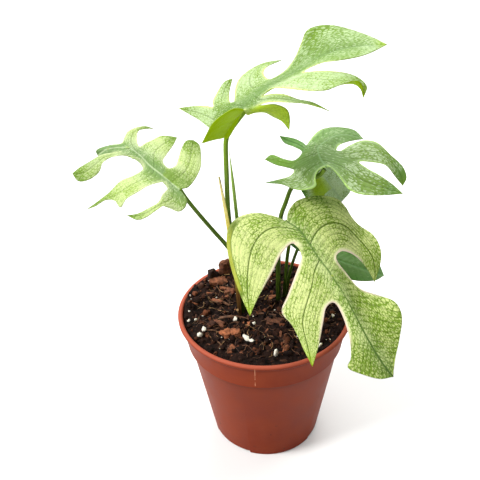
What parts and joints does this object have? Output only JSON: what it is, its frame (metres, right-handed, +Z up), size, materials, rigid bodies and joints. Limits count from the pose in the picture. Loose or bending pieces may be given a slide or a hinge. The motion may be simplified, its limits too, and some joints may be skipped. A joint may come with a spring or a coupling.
{
  "type": "potted mini monstera",
  "caption": "Young aroid house plant with split, netted pale leaves on slender stalks, growing from potting mix in a tapered plastic nursery pot.",
  "frame": {"origin": "middle of the pot's base, on the plane that the pot stands on", "axes": "+Z up along the pot's axis; -Y is the front, over which the largest leaf hangs; +X is to the right as seen from the front"},
  "size_m": [0.2141, 0.1304, 0.2946],
  "materials": {
    "terracotta_plastic": "satin moulded plastic",
    "potting_mix": "moist crumb with bark and perlite",
    "netted_blade": "waxy pale leaf with a green net",
    "green_blade": "waxy green leaf",
    "dark_blade": "waxy dark green leaf",
    "stalk": "smooth green stalk",
    "dry_sheath": "papery dried sheath"
  },
  "bodies": {
    "root": {"pot": "terracotta_plastic", "soil": "potting_mix", "leaf_top": "netted_blade", "leaf_left": "netted_blade", "leaf_right": "green_blade", "leaf_front": "netted_blade", "leaf_back": "dark_blade", "leaf_under": "green_blade", "petiole_top": "stalk", "petiole_left": "stalk", "petiole_right": "stalk", "petiole_front": "stalk", "petiole_back": "stalk", "petiole_under": "stalk", "new_shoot": "stalk", "cataphyll": "dry_sheath"}
  },
  "joints": []
}
